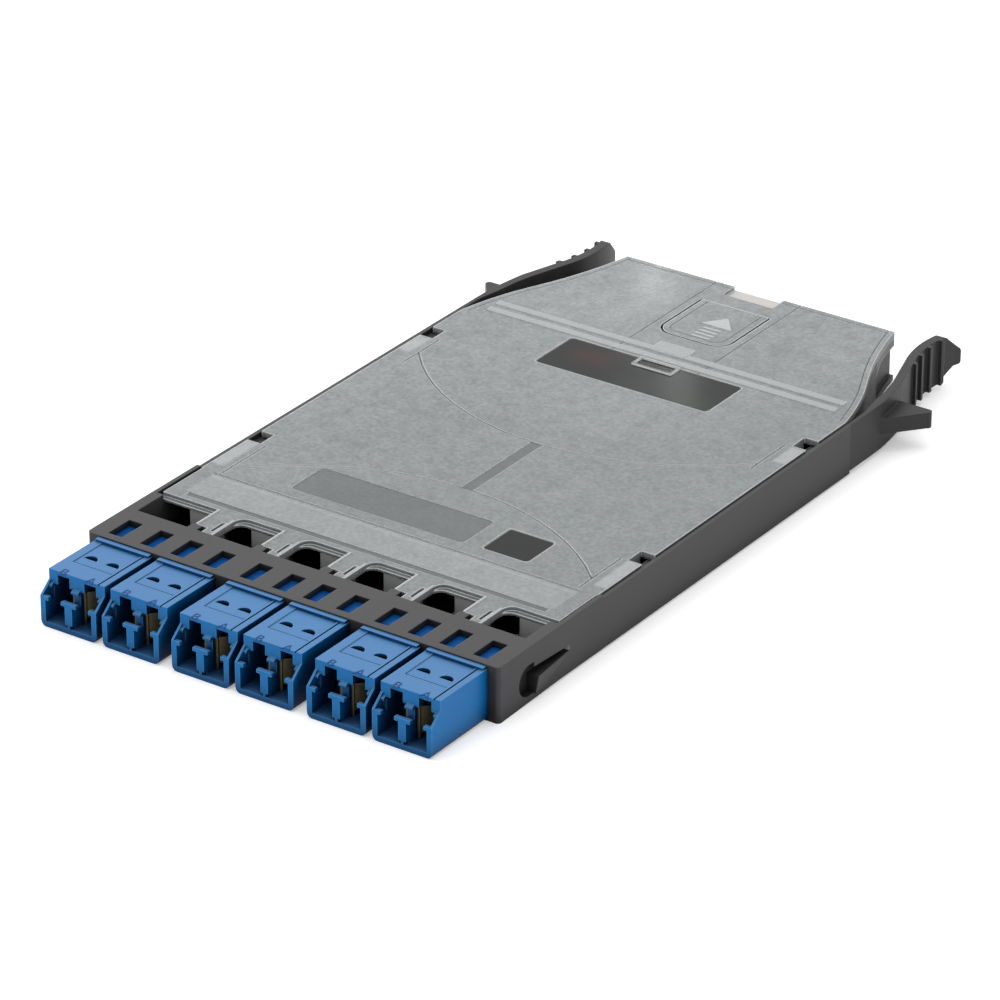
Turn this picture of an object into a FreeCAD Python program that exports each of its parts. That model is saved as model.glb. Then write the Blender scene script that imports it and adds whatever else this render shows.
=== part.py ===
import FreeCAD, Part
import math
import os

from FreeCAD import Vector

# A flat fibre cassette: duplex adapters along the front, one multi-fibre adapter at the
# rear, a sliding cover and two release arms. Sizes are in millimetres. X runs across,
# Y from the front of the deck to the rear, Z up from the lowest point of the base.

# Duplex adapters
adapter_count = 6
port_width = 4.5
divider_width = 1.6
adapter_wall = 1.1
adapter_gap = 1.39
pair_gap = 2.95
adapter_reach = 14.2
chin_reach = 2.75
chin_side_height = 6.2
chin_slant_height = 8.5
adapter_bottom = 0.05
adapter_top = 10.5
adapter_corner = 1.1
body_bottom = 0.6
body_top = 9.9
body_depth = 11.5
port_floor = 1.1
port_height = 6.6
latch_notch_width = 2.7
latch_notch_height = 2.0
divider_head_width = 3.3
divider_foot_width = 0.5
divider_foot_height = 1.8
mouth_ledge_reach = 0.7
mouth_head_low = 5.5
mouth_head_thickness = 0.7
mouth_head_depth = 0.9
mouth_valley_low = 5.0
mouth_skin = 0.45
mouth_nub_low = 7.2
mouth_nub_height = 0.8
mouth_nub_reach = 0.8
core_front = -4.2
core_thickness = 3.0
holder_radius = 1.3
holder_front = -7.9
holder_rear = 2.5
fibre_axis_height = 3.6
panel_width = 9.0
panel_front = -9.4
panel_rear = -1.0
panel_depth = 0.15
panel_groove = 0.35
top_rim_width = 1.2
finger_hole_width = 1.5
finger_hole_length = 2.9
finger_hole_offset = 2.45
finger_hole_rear = -5.7
finger_hole_depth = 1.2
finger_hole_steps = 6
lip_bar_width = 12.2
lip_bar_depth = 1.1
lip_bar_height = 0.45
snap_height = 0.5
snap_front = 2.2
snap_length = 1.6

# Sleeves and shutters inside the adapters. Small round parts and corners that repeat have flats.
corner_flats = 3
bore_sides = 8
sleeve_outer_radius = 0.8
sleeve_inner_radius = 0.64
sleeve_length = 6.8
sleeve_clearance = 0.04
sleeve_slit = 0.3
ferrule_radius = 0.6
lip_clearance = 0.1
leaf_length = 5.2
leaf_thickness = 0.2
leaf_low = 2.3
leaf_high = 7.5
leaf_tip_clearance = 0.4
barrel_radius = 0.35
barrel_clearance = 0.05
barrel_setback = 0.8

# Rear plugs of the adapters, with their boots
plug_clearance = 0.1
plug_stop_gap = 0.3
ferrule_setback = 0.2
plug_height = 4.5
plug_reach = 2.4
plug_clip_height = 1.2
plug_clip_length = 2.2
boot_root_radius = 1.5
boot_tip_radius = 0.9
boot_length = 8.0
fibre_radius = 0.45
fibre_sides = 6
bend_flats = 4

# Base tray
end_wall = 2.4
front_wall = 1.4
seat_clearance = 0.05
deck_thickness = 1.3
deck_depth = 11.8
deck_rail_length = 33.0
slot_width = 3.2
slot_front = 1.7
slot_rear = 8.0
slot_offset = 3.65
rim_drop = 0.5
rim_width = 0.9
side_wall = 1.9
floor_low = 0.45
floor_top = 1.6
ramp_length = 19.0
front_floor_drop = 0.05
beam_left = 1.9
beam_right = 0.2
beam_step = 13.6
comb_setback = 0.2
comb_thickness = 1.2
comb_post = 1.2
comb_arch_height = 5.7
body_length = 117.8
front_edge_radius = 0.8

# Neck of the base behind the side walls
shoulder_inset = 5.2
shoulder_length = 13.5
shoulder_via_inset = 2.6
shoulder_via_length = 5.8
bend_inset = 8.3
bend_length = 20.4
neck_via_inset = 11.8
neck_via_length = 29.8
rear_inset = 14.3
neck_length = 39.9
neck_wall = 1.8
rear_wall = 1.5

# Catches in the side walls
catch_hole_radius = 3.1
catch_hole_flat = 11.0
catch_hole_depth = 4.8
catch_middle = 4.6
catch_end = 22.0
catch_low = 1.4
catch_high = 5.0
catch_proud = 1.0
catch_foot_proud = 0.35
catch_slot_front = 1.7
catch_slot_rear = 1.1
catch_recess = 1.8

# Cover
cover_thickness = 1.3
cover_drop = 0.2
cover_gap = 0.3
cover_front = 19.9
cover_front_inset = 0.2
lip_depth = 1.0
lip_sink = 0.8
finger_left = 1.6
finger_split = 1.15
finger_right = 3.7
finger_left_front = 14.0
finger_front = 12.0
finger_root_radius = 2.0
finger_slot_side = 0.85
finger_slot_width = 0.7
finger_slot_front = 1.3
finger_slot_length = 4.0
finger_rim_width = 0.5
finger_rim_height = 0.12
beam_gap = 0.1
cover_slide = 4.4
strip_inset = 4.2
notch_inset = 3.0
front_notch = 47.2
rear_notch_setback = 14.3
front_strip_length = 13.9
rear_strip_length = 12.5
hook_thickness = 1.1
hook_drop = 2.7
hook_lip = 1.1
hook_side_gap = 0.3
ledge_width = 0.8
ledge_height = 1.4
skirt_start = 28.4
skirt_thickness = 0.7
skirt_front_drop = 3.4
skirt_rear_drop = 1.7
skirt_curve_length = 5.5
skirt_via_drop = 2.3
skirt_via_length = 1.8
skirt_clearance = 0.15
port_notch_width = 11.6
port_notch_depth = 4.4
port_notch_sink = 0.8

# Relief on top of the cover: grooves, ribs, windows and marked-off fields. Places behind the
# middle are measured from the rear end of the side walls.
line_width = 0.5
line_depth = 0.2
lip_line = 22.2
lip_line_width = 1.6
step_line = 32.3
relief_middle = 1.3
arc_reach = 60.0
arc_flats = 12
front_arc_radius = 54.4
front_arc_top = 53.9
front_arc_end = 36.0
rear_arc_radius = 53.4
rear_arc_setback = 40.8
rear_arc_end_setback = 21.0
channel_width = 2.6
channel_depth = 0.15
window_sink = 0.15
window_corner = 1.0
rear_window_left = 19.5
rear_window_right = 20.5
rear_window_setback = 11.4
rear_window_length = 13.2
small_window_left = 17.0
small_window_width = 10.2
small_window_front = 36.0
small_window_length = 9.4
patch_left = 26.0
patch_width = 39.2
patch_front = 35.5
patch_length = 10.5
cross_rib_start = 2.6
cross_rib_length = 4.8
cross_rib_height = 0.2
cross_rib_groove = 1.6
field_half_width = 9.8
field_start_setback = 1.8
field_line_width = 0.3
tile_left = 3.8
tile_width = 8.0
tile_start = 6.1
tile_length = 3.8
tile_height = 0.25
frame_left = 3.2
frame_width = 9.1
frame_setback = 1.6
frame_length = 3.6
frame_line = 0.35
frame_height = 0.2
border_inset = 1.1
border_width = 0.3
border_depth = 0.12

# Latch tab in the cover
tab_half_width = 7.75
tab_slot = 0.5
tab_corner = 3.4
tab_start = 14.2
tab_length = 17.0
tab_thickness = 1.1
tab_border_inset = 1.3
tab_catch_width = 9.0
tab_catch_length = 1.2
tab_catch_drop = 0.5

# Release arms
arm_lift = 1.0
arm_root_thickness = 0.85
arm_thickness = 1.9
arm_straight = 6.9
arm_bow_thickness = 1.7
arm_bow_inset = 0.1
arm_bow_length = 11.8
arm_bow_via_inset = 0.65
arm_bow_via_length = 16.4
arm_mid_inset = 1.4
arm_mid_length = 21.0
arm_bend_inset = 4.1
arm_bend_setback = 18.5
arm_waist_via_inset = 5.35
arm_waist_via_setback = 13.7
arm_waist_inset = 5.75
arm_waist_setback = 9.1
arm_heel_via_inset = 5.3
arm_heel_via_setback = 4.9
arm_heel_inset = 3.9
arm_length = 48.3
arm_top_setback = 4.7
arm_slant_setback = 3.3
arm_slant_high = 9.9
arm_slant_low = 7.4
arm_end_round = 0.6
arm_end_high = 6.2
arm_toe_height = 3.7
arm_toe_end_setback = 1.8
arm_toe_start_setback = 6.1
arm_rib_setback = 5.8
arm_rib_pitch = 4.0
arm_rib_count = 4
arm_rib_length = 0.9
arm_rib_proud = 0.8
tooth_root_front = 11.2
tooth_tip = 19.5
tooth_root_rear = 20.2
tooth_reach = 6.4
tooth_blunt = 0.9
tooth_low = 4.2
tooth_high = 7.5

# Multi-fibre adapter, its plug, the trunk and the fan-out block
rear_adapter_width = 13.0
rear_adapter_height = 8.4
rear_adapter_length = 22.6
rear_adapter_setback = 0.3
rear_seat_depth = 0.6
rear_port_width = 9.9
rear_port_height = 6.6
key_width = 2.6
key_depth = 0.7
rear_adapter_post = 1.2
rear_adapter_post_length = 7.0
rear_adapter_post_height = 5.0
rear_plug_clearance = 0.1
rear_plug_insert = 11.5
rear_plug_grip = 7.2
rear_plug_grip_width = 12.2
rear_plug_grip_height = 7.8
rear_boot_length = 5.0
rear_boot_radius = 2.9
trunk_radius = 1.5
trunk_sides = 16
trunk_length = 3.0
block_length = 9.0
block_width = 15.0
block_height = 4.0
block_wall = 1.2
fan_pitch = 1.1
fan_row_gap = 1.7
fan_first_run = 0.28
fan_last_run = 0.28

# Positions that follow from the sizes above
adapter_width = 2 * port_width + divider_width + 2 * adapter_wall
port_offset = (divider_width + port_width) / 2
row_width = adapter_count * adapter_width + (adapter_count // 2) * adapter_gap
row_width += (adapter_count // 2 - 1) * pair_gap
half_width = row_width / 2 + end_wall
deck_low = body_top + seat_clearance
deck_top = deck_low + deck_thickness
rim_top = deck_top - rim_drop
cover_top = deck_top - cover_drop
cover_low = cover_top - cover_thickness
cover_half = half_width - rim_width - cover_gap
cover_length = body_length + neck_length
rear_notch = body_length - rear_notch_setback
beam_rear = cover_front + comb_setback + comb_thickness
comb_front = cover_front + comb_setback
beam_low_top = cover_low - beam_gap
skirt_front = body_length + skirt_start
tab_front = body_length + tab_start
tab_root = tab_front + tab_length
mouth_head_high = mouth_head_low + mouth_head_thickness
rear_arc_top = body_length - rear_arc_setback
port_roof = port_floor + port_height
cavity_wall = half_width - side_wall
core_rear = core_front + core_thickness
core_middle = (core_front + core_rear) / 2
plug_front = holder_rear + plug_stop_gap
plug_rear = body_depth + plug_reach
fibre_start = plug_rear + boot_length
rear_adapter_rear = cover_length - rear_adapter_setback
rear_adapter_front = rear_adapter_rear - rear_adapter_length
rear_axis_height = floor_top - rear_seat_depth + rear_adapter_height / 2
rear_plug_front = rear_adapter_front - rear_plug_grip
rear_boot_front = rear_plug_front - rear_boot_length
trunk_front = rear_boot_front - trunk_length
block_front = trunk_front - block_length
leaf_hinge_y = -adapter_reach + barrel_setback
front_end = -adapter_reach - chin_reach
rear_end = body_length + arm_length
arm_bend = arm_length - arm_bend_setback
arm_waist_via = arm_length - arm_waist_via_setback
arm_waist = arm_length - arm_waist_setback
arm_heel_via = arm_length - arm_heel_via_setback
arm_top_start = arm_length - arm_top_setback
arm_slant_start = arm_length - arm_slant_setback
arm_toe_end = arm_length - arm_toe_end_setback
arm_toe_start = arm_length - arm_toe_start_setback
arm_rib_first = arm_length - arm_rib_setback - (arm_rib_count - 1) * arm_rib_pitch
origin_shift = Vector(0, -(front_end + rear_end) / 2, 0)


def box(x0, x1, y0, y1, z0, z1):
    return Part.makeBox(x1 - x0, y1 - y0, z1 - z0, Vector(x0, y0, z0))


def centred_box(x, width, y0, y1, z0, z1):
    return box(x - width / 2, x + width / 2, y0, y1, z0, z1)


# A closed outline of straight runs and arcs. A step of the outline is a point, or an arc
# written as (a point on the arc, its end).
def outline(steps):
    corners = []
    edges = []
    for step in steps:
        is_arc = isinstance(step[0], tuple)
        end = Vector(*step[1]) if is_arc else Vector(*step)
        if corners and is_arc:
            edges.append(Part.Arc(corners[-1], Vector(*step[0]), end).toShape())
        elif corners:
            edges.append(Part.LineSegment(corners[-1], end).toShape())
        corners.append(end)
    if corners[-1].distanceToPoint(corners[0]) > 1e-6:
        edges.append(Part.LineSegment(corners[-1], corners[0]).toShape())
    return Part.Face(Part.Wire(edges))


# A plan outline raised between two heights
def plan_prism(steps, z0, z1):
    def lift(point):
        return (point[0], point[1], z0)
    lifted = [tuple(lift(p) for p in s) if isinstance(s[0], tuple) else lift(s) for s in steps]
    return outline(lifted).extrude(Vector(0, 0, z1 - z0))


# A side outline in Y and Z run across between two X positions
def side_prism(steps, x0, x1):
    def place(point):
        return (x0, point[0], point[1])
    placed = [tuple(place(p) for p in s) if isinstance(s[0], tuple) else place(s) for s in steps]
    return outline(placed).extrude(Vector(x1 - x0, 0, 0))


# A solid from the corner loops of its flat faces
def faceted(loops):
    faces = [Part.Face(Part.makePolygon(loop + loop[:1])) for loop in loops]
    return Part.makeSolid(Part.makeShell(faces))


# Corners of a regular many-sided section across Y, with its flats up and down
def ring_points(x, y, z, radius, sides):
    turn = 2 * math.pi / sides
    angles = [(k + 0.5) * turn for k in range(sides)]
    return [Vector(x + radius * math.cos(a), y, z + radius * math.sin(a)) for a in angles]


# Many-sided bar or taper along Y: the radii reach to its corners
def sided_bar(x, z, y0, y1, front_radius, rear_radius, sides):
    front = ring_points(x, y0, z, front_radius, sides)
    rear = ring_points(x, y1, z, rear_radius, sides)
    loops = [front, rear[::-1]]
    for k in range(sides):
        after = (k + 1) % sides
        loops.append([front[k], rear[k], rear[after], front[after]])
    return faceted(loops)


def mirrored(shape):
    return shape.mirror(Vector(0, 0, 0), Vector(1, 0, 0))


def with_mirror(shape):
    return [shape, mirrored(shape)]


# Centres of the adapters from left to right, and of the beams between them
def adapter_centres():
    centres = []
    x = -row_width / 2 + adapter_width / 2
    for k in range(adapter_count):
        centres.append(x)
        x += adapter_width + (adapter_gap if k % 2 == 0 else pair_gap)
    return centres


def beam_centres():
    centres = adapter_centres()
    return [(a + b) / 2 for a, b in zip(centres, centres[1:])]


# Right half of the plan outline of the neck, from the end of the side walls to the rear
def neck_steps(inset=0.0):
    def at(back_inset, length):
        return (half_width - back_inset - inset, body_length + length)
    return [
        (cover_half - inset, body_length),
        (at(shoulder_via_inset, shoulder_via_length), at(shoulder_inset, shoulder_length)),
        at(bend_inset, bend_length),
        (at(neck_via_inset, neck_via_length), at(rear_inset, neck_length)),
    ]


# The same stretch of the left side, run from the rear to the front
def flip_steps(steps):
    def flip(point):
        return (-point[0], point[1])
    flipped = []
    for k in range(len(steps) - 1, 0, -1):
        before = steps[k - 1]
        before = before[1] if isinstance(before[0], tuple) else before
        if isinstance(steps[k][0], tuple):
            flipped.append((flip(steps[k][0]), flip(before)))
        else:
            flipped.append(flip(before))
    rear = steps[-1]
    rear = rear[1] if isinstance(rear[0], tuple) else rear
    return [flip(rear)] + flipped


# Plan outline with straight sides in front and the neck behind
def housing_steps(half, front, inset=0.0):
    neck = neck_steps(inset)
    return [(-half, front), (half, front), (half, body_length)] + neck + flip_steps(neck) + [
        (-half, body_length)
    ]


# Points of a corner made of short flats, a quarter turn from its first angle
def corner_points(x, y, radius, first_angle):
    angles = [math.radians(first_angle + 90 * k / corner_flats) for k in range(corner_flats + 1)]
    return [(x + radius * math.cos(a), y + radius * math.sin(a)) for a in angles]


# Nose of an adapter outside the deck: a block with a chin that slants back to its top
def adapter_nose(x):
    half = adapter_width / 2
    chin_front = -adapter_reach - chin_reach
    profile = [
        (0, adapter_bottom), (chin_front, adapter_bottom), (chin_front, chin_side_height),
        (-adapter_reach, chin_slant_height), (-adapter_reach, adapter_top), (0, adapter_top),
    ]
    side = half - adapter_corner
    corner_height = adapter_bottom + adapter_corner
    section = corner_points(x - side, corner_height, adapter_corner, 180)
    section += corner_points(x + side, corner_height, adapter_corner, 270)
    section += [(x + half, adapter_top), (x - half, adapter_top)]
    loop = [Vector(px, chin_front, pz) for px, pz in section]
    block = Part.Face(Part.makePolygon(loop + loop[:1])).extrude(Vector(0, -chin_front, 0))
    return side_prism(profile, x - half, x + half).common(block)


# Hollow of one port in front of and behind the middle wall, with its latch notch
def port_cuts(port_x):
    cuts = []
    for y0, y1 in ((-adapter_reach - chin_reach, core_front), (core_rear, body_depth)):
        cuts.append(centred_box(port_x, port_width, y0, y1, port_floor, port_roof))
        cuts.append(centred_box(
            port_x, latch_notch_width, y0, y1, port_roof, port_roof + latch_notch_height))
    return cuts


# The mouth is cut down behind its front ledges, which leaves a thin skin outside
def mouth_cuts(x):
    chin_front = -adapter_reach - chin_reach
    valley_half = adapter_width / 2 - mouth_skin
    valley_front = chin_front + mouth_head_depth
    valley = box(
        x - valley_half, x + valley_half, valley_front, -adapter_reach, mouth_valley_low, chin_slant_height)
    above_heads = box(
        x - valley_half, x + valley_half, chin_front, valley_front, mouth_head_high, chin_slant_height)
    cuts = [valley, above_heads]
    foot_side = (divider_width - divider_foot_width) / 2
    for side in (-1, 1):
        foot_x = x + side * (divider_foot_width + foot_side) / 2
        cuts.append(centred_box(
            foot_x, foot_side, chin_front, valley_front, port_floor, divider_foot_height))
    return cuts


# Ledges on the front of the side walls and the divider, and the slanting nubs above them
def mouth_adds(x):
    chin_front = -adapter_reach - chin_reach
    head_rear = chin_front + mouth_head_depth
    inner_wall = adapter_width / 2 - adapter_wall
    adds = [centred_box(x, divider_head_width, chin_front, head_rear, mouth_head_low, mouth_head_high)]
    nub = [
        (-adapter_reach, mouth_nub_low), (-adapter_reach - mouth_nub_reach, mouth_nub_low),
        (-adapter_reach - mouth_nub_reach, mouth_nub_low + mouth_nub_height / 2),
        (-adapter_reach, mouth_nub_low + mouth_nub_height),
    ]
    adds.append(side_prism(nub, x - divider_width / 2, x + divider_width / 2))
    for side in (-1, 1):
        ledge_x = x + side * (inner_wall - mouth_ledge_reach / 2)
        adds.append(centred_box(
            ledge_x, mouth_ledge_reach, chin_front, head_rear, mouth_head_low, mouth_head_high))
        nub_x = x + side * (inner_wall + (adapter_wall - mouth_skin) / 2)
        nub_half = (adapter_wall - mouth_skin) / 2
        adds.append(side_prism(nub, nub_x - nub_half, nub_x + nub_half))
    return adds


# Finger hole in the top, half round towards the rear
def finger_hole(x):
    half = finger_hole_length / 2
    front = finger_hole_rear - finger_hole_width
    angles = [math.pi * k / finger_hole_steps for k in range(finger_hole_steps + 1)]
    steps = [(x + half * math.cos(a), front + finger_hole_width * math.sin(a)) for a in angles]
    return plan_prism(steps, adapter_top - finger_hole_depth, adapter_top)


# Shallow panel between grooves in the top, with a rim along the right side
def top_panel_cuts(x):
    half = panel_width / 2
    rim_left = x + adapter_width / 2 - top_rim_width
    groove_low = adapter_top - panel_groove
    return [
        box(x - half, x + half, panel_front, panel_rear, adapter_top - panel_depth, adapter_top),
        box(x - half, x + half, panel_front - panel_groove, panel_front, groove_low, adapter_top),
        box(rim_left - panel_groove, rim_left, -adapter_reach, panel_rear, groove_low, adapter_top),
    ]


def duplex_adapter(x):
    half = adapter_width / 2
    body = box(x - half, x + half, 0, body_depth, body_bottom, body_top)
    body = body.fuse(adapter_nose(x))
    cuts = mouth_cuts(x) + top_panel_cuts(x)
    adds = mouth_adds(x)
    for side in (-1, 1):
        port_x = x + side * port_offset
        cuts += port_cuts(port_x)
        cuts.append(finger_hole(x + side * finger_hole_offset))
        adds.append(sided_bar(
            port_x, fibre_axis_height, holder_front, holder_rear, holder_radius, holder_radius,
            bore_sides))
        adds.append(snap_lug(x + side * slot_offset))
    adds.append(box(
        x - lip_bar_width / 2, x + lip_bar_width / 2, -lip_bar_depth, 0,
        adapter_top, adapter_top + lip_bar_height))
    adapter = body.cut(cuts).fuse(adds)

    bores = []
    half_sleeve = sleeve_length / 2 + sleeve_clearance
    sleeve_bore = sleeve_outer_radius + sleeve_clearance
    ferrule_bore = ferrule_radius + lip_clearance
    for side in (-1, 1):
        port_x = x + side * port_offset
        bores.append(sided_bar(
            port_x, fibre_axis_height, core_middle - half_sleeve, core_middle + half_sleeve,
            sleeve_bore, sleeve_bore, bore_sides))
        bores.append(sided_bar(
            port_x, fibre_axis_height, holder_front, holder_rear, ferrule_bore, ferrule_bore, bore_sides))
    return adapter.cut(bores).removeSplitter()


# Wedge on the adapter that snaps up into a slot of the deck
def snap_lug(x):
    return side_prism(
        [
            (snap_front, body_top), (snap_front, body_top + snap_height),
            (snap_front + snap_length, body_top),
        ],
        x - latch_notch_width / 2, x + latch_notch_width / 2,
    )


# Ceramic sleeve with a slit along its top
def split_sleeve(x):
    start = core_middle - sleeve_length / 2
    end = start + sleeve_length
    outer = sided_bar(x, fibre_axis_height, start, end, sleeve_outer_radius, sleeve_outer_radius, bore_sides)
    bore = sided_bar(x, fibre_axis_height, start, end, sleeve_inner_radius, sleeve_inner_radius, bore_sides)
    slit = centred_box(
        x, sleeve_slit, start, end, fibre_axis_height, fibre_axis_height + sleeve_outer_radius)
    return outer.cut([bore, slit])


# Hinge axis of the shutter beside the divider: side is -1 for the left port and 1 for the right
def leaf_hinge_x(x, side):
    return x + side * (divider_width / 2 + barrel_radius + barrel_clearance)


# Angle of the closed leaf from the length of the port
def leaf_angle():
    across = port_width - barrel_radius - barrel_clearance - leaf_tip_clearance
    return math.degrees(math.asin(across / leaf_length))


# Steel leaf that closes one port, hinged beside the divider and slanting to the outer wall
def shutter(x, side):
    hinge_x = leaf_hinge_x(x, side)
    turn = 2 * math.pi / bore_sides
    angles = [(k + 0.5) * turn for k in range(bore_sides)]
    barrel = plan_prism(
        [(hinge_x + barrel_radius * math.cos(a), leaf_hinge_y + barrel_radius * math.sin(a)) for a in angles],
        port_floor + barrel_clearance, port_roof - barrel_clearance)
    leaf = box(
        hinge_x - leaf_thickness / 2, hinge_x + leaf_thickness / 2,
        leaf_hinge_y, leaf_hinge_y + leaf_length, leaf_low, leaf_high)
    leaf.rotate(Vector(hinge_x, leaf_hinge_y, 0), Vector(0, 0, 1), -side * leaf_angle())
    return barrel.fuse(leaf).removeSplitter()


# Two plugs with ferrules and boots, held together by one clip
def duplex_plug(x):
    width = port_width - 2 * plug_clearance
    low = fibre_axis_height - plug_height / 2
    pieces = []
    for side in (-1, 1):
        port_x = x + side * port_offset
        pieces.append(centred_box(port_x, width, plug_front, plug_rear, low, low + plug_height))
        pieces.append(sided_bar(
            port_x, fibre_axis_height, core_middle + ferrule_setback, plug_front, ferrule_radius,
            ferrule_radius, bore_sides))
        pieces.append(sided_bar(
            port_x, fibre_axis_height, plug_rear, fibre_start, boot_root_radius, boot_tip_radius,
            bore_sides))
    clip_top = low + plug_height + plug_clip_height
    pieces.append(box(
        x - port_offset - width / 2, x + port_offset + width / 2,
        plug_rear - plug_clip_length, plug_rear, low + plug_height / 2, clip_top))
    return pieces[0].fuse(pieces[1:]).removeSplitter()


def floor_plate():
    rear = body_length + neck_length
    profile = [
        (0, 0), (ramp_length, floor_low), (rear, floor_low), (rear, floor_top),
        (plug_rear, floor_top), (plug_rear, body_bottom - front_floor_drop),
        (0, body_bottom - front_floor_drop),
    ]
    plate = side_prism(profile, -half_width, half_width)
    return plate.common(plan_prism(housing_steps(half_width, 0), 0, floor_top))


# Closed band over the adapters with a slot above each port
def deck():
    band = box(-half_width, half_width, 0, deck_depth, deck_low, deck_top)
    slots = []
    for x in adapter_centres():
        for side in (-1, 1):
            slots.append(centred_box(
                x + side * slot_offset, slot_width, slot_front, slot_rear, deck_low, deck_top))
    return band.cut(slots)


def front_frame():
    wall = box(-half_width, half_width, 0, front_wall, 0, deck_low)
    seats = [
        centred_box(
            x, adapter_width + 2 * seat_clearance, 0, front_wall,
            body_bottom - front_floor_drop, deck_low)
        for x in adapter_centres()
    ]
    return wall.cut(seats)


# Beam of the deck between two windows, stepped down under the cover's finger, and its post
def beam_and_post(x):
    left = x - beam_left
    right = x + beam_right
    return [
        box(left, right, deck_depth, beam_step, beam_low_top - deck_thickness, deck_top),
        box(left, right, beam_step, beam_rear, beam_low_top - deck_thickness, beam_low_top),
        box(left, right, comb_front, beam_rear, floor_low, beam_low_top),
    ]


# Wall over the right boot of an adapter, with the foot beside that boot
def comb_arch(centre, right):
    left = centre - comb_post / 2
    return [
        box(left, right, comb_front, beam_rear, comb_arch_height, beam_low_top),
        box(left, left + comb_post, comb_front, beam_rear, floor_low, comb_arch_height),
    ]


def side_walls():
    inner_rim = half_width - rim_width
    wall = box(cavity_wall, half_width, 0, body_length, floor_low, cover_low)
    rim = box(inner_rim, half_width, 0, body_length, cover_low, rim_top)
    rail = box(inner_rim, half_width, deck_depth, deck_rail_length, rim_top, deck_top)
    inner_rail = half_width - end_wall
    front_block = box(inner_rail, half_width, 0, cover_front - cover_gap, floor_low, deck_top)
    catch_back = box(inner_rail, half_width, 0, catch_end + end_wall, floor_low, cover_low)
    ramp_low = side_prism([(0, 0), (ramp_length, floor_low), (0, floor_low)], inner_rail, half_width)
    ledges = []
    gaps = [notch + cover_slide - hook_side_gap for notch in (front_notch, rear_notch)]
    start = deck_rail_length
    for gap in gaps + [body_length]:
        ledges.append(box(
            cavity_wall - ledge_width, cavity_wall, start, gap, cover_low - ledge_height, cover_low))
        start = gap + cover_slide
    half = wall.fuse([rim, rail, front_block, catch_back, ramp_low] + ledges)
    return with_mirror(side_catch(half))


# Half-round hollow, catch with a ramp that fades into the wall, and the slot above it
def side_catch(wall):
    inside = half_width - catch_recess
    hollow_front = catch_hole_flat - catch_hole_depth
    hollow_middle = hollow_front + catch_hole_radius
    hollow = Part.makeCylinder(
        catch_hole_radius, catch_recess, Vector(inside, hollow_middle, catch_middle), Vector(1, 0, 0))
    hollow = hollow.fuse(box(
        inside, half_width, hollow_middle, catch_hole_flat,
        catch_middle - catch_hole_radius, catch_middle + catch_hole_radius))
    hollow = hollow.common(box(inside, half_width, 0, catch_hole_flat, 0, deck_low))
    slot = side_prism(
        [
            (catch_hole_flat, catch_high), (catch_end, catch_high),
            (catch_end, catch_high + catch_slot_rear), (catch_hole_flat, catch_high + catch_slot_front),
        ],
        inside, half_width,
    )
    fade = (catch_end - catch_hole_flat) * catch_foot_proud / catch_proud
    low_front = Vector(half_width, catch_hole_flat, catch_low)
    high_front = Vector(half_width, catch_hole_flat, catch_high)
    low_nose = low_front.add(Vector(catch_foot_proud, 0, 0))
    high_nose = high_front.add(Vector(catch_proud, 0, 0))
    low_rear = low_front.add(Vector(0, fade, 0))
    high_rear = Vector(half_width, catch_end, catch_high)
    ramp = faceted([
        [low_front, low_rear, low_nose], [high_front, high_nose, high_rear],
        [low_front, low_nose, high_nose, high_front], [low_nose, low_rear, high_rear, high_nose],
        [low_front, high_front, high_rear, low_rear],
    ])
    return wall.cut([hollow, slot]).fuse(ramp)


def neck_walls():
    def ring(outer, inner, z0, z1):
        outside = plan_prism(outer + flip_steps(outer), z0, z1)
        return outside.cut(plan_prism(inner + flip_steps(inner), z0, z1))

    walls = ring(neck_steps(), neck_steps(neck_wall), floor_low, cover_low)
    skirt_room = ring(neck_steps(), neck_steps(skirt_thickness + skirt_clearance), floor_top, cover_low)
    skirt_room = skirt_room.common(box(
        -half_width, half_width, skirt_front - skirt_clearance, cover_length, 0, deck_top))
    walls = walls.cut(skirt_room)
    rear_half = half_width - rear_inset
    rear = box(
        -rear_half + neck_wall, rear_half - neck_wall, cover_length - rear_wall, cover_length,
        floor_low, cover_low)
    return walls.fuse(rear)


# Posts beside the multi-fibre adapter and the ribs under the fan-out block
def cradles():
    pieces = []
    side = rear_adapter_width / 2 + seat_clearance
    middle = (rear_adapter_front + rear_adapter_rear) / 2
    post = box(
        side, side + rear_adapter_post, middle - rear_adapter_post_length / 2,
        middle + rear_adapter_post_length / 2, floor_low, floor_top + rear_adapter_post_height)
    pieces += with_mirror(post)
    block_side = block_width / 2 + seat_clearance
    block_low = rear_axis_height - block_height / 2
    clip = box(
        block_side, block_side + block_wall, block_front + block_wall,
        block_front + block_length - block_wall, floor_low, block_low + block_height)
    pieces += with_mirror(clip)
    for y in (block_front + block_wall, block_front + block_length - 2 * block_wall):
        pieces.append(box(-block_side, block_side, y, y + block_wall, floor_low, block_low))
    return pieces


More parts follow.
